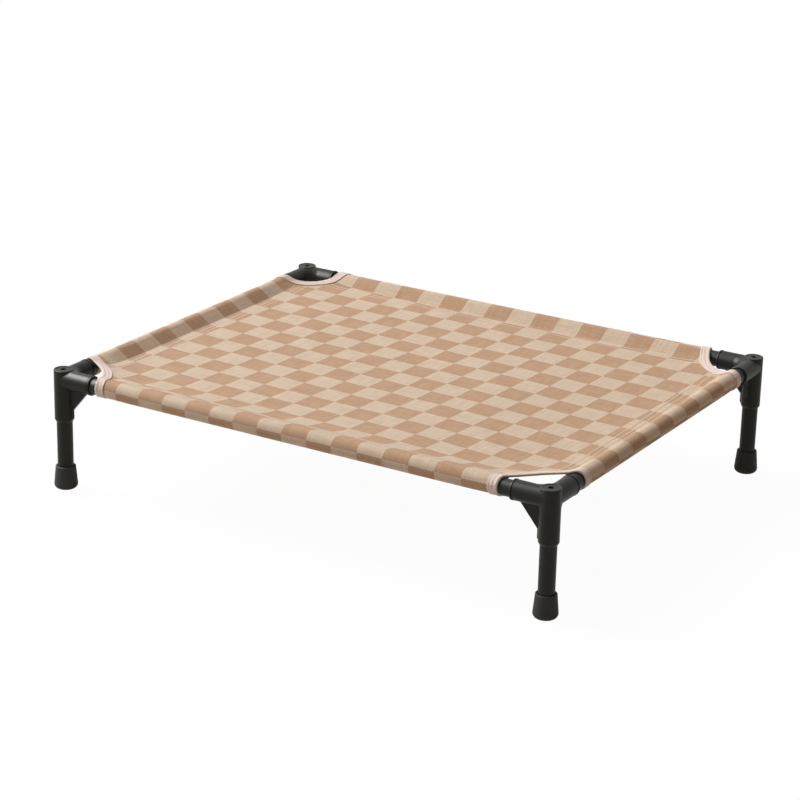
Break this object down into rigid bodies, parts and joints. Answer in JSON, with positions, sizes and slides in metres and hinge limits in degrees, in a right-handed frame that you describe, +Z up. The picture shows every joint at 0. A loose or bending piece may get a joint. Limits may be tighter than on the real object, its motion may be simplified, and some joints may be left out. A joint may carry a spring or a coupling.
{
  "type": "raised dog cot",
  "caption": "Raised dog cot: a taut woven sling with sewn rail casings on a black tube frame with moulded corner connectors, short legs and flared rubber feet.",
  "frame": {"origin": "on the floor, under the middle of the cot", "axes": "+X along the cot's length, +Y from the front to the rear, +Z up"},
  "size_m": [0.9068, 0.7268, 0.2],
  "materials": {
    "connector_plastic": "satin moulded black plastic",
    "frame_tube": "black powder coat on steel tube",
    "foot_rubber": "matt black rubber",
    "bolt_steel": "zinc-plated steel",
    "plug_plastic": "dark moulded plastic",
    "sling_cloth": "woven two-tone tan check",
    "binding_tape": "pale woven binding tape"
  },
  "bodies": {
    "root": {"connector_front_left": "connector_plastic", "connector_front_right": "connector_plastic", "connector_rear_right": "connector_plastic", "connector_rear_left": "connector_plastic", "rail_front": "frame_tube", "rail_right": "frame_tube", "rail_rear": "frame_tube", "rail_left": "frame_tube", "leg_front_left": "frame_tube", "leg_front_right": "frame_tube", "leg_rear_right": "frame_tube", "leg_rear_left": "frame_tube", "foot_front_left": "foot_rubber", "foot_front_right": "foot_rubber", "foot_rear_right": "foot_rubber", "foot_rear_left": "foot_rubber", "casing_front": "sling_cloth", "casing_right": "sling_cloth", "casing_rear": "sling_cloth", "casing_left": "sling_cloth", "binding_front_left": "binding_tape", "binding_front_right": "binding_tape", "binding_rear_right": "binding_tape", "binding_rear_left": "binding_tape", "sling_panel": "sling_cloth", "leg_bolts": "bolt_steel", "leg_plugs": "plug_plastic"}
  },
  "joints": []
}
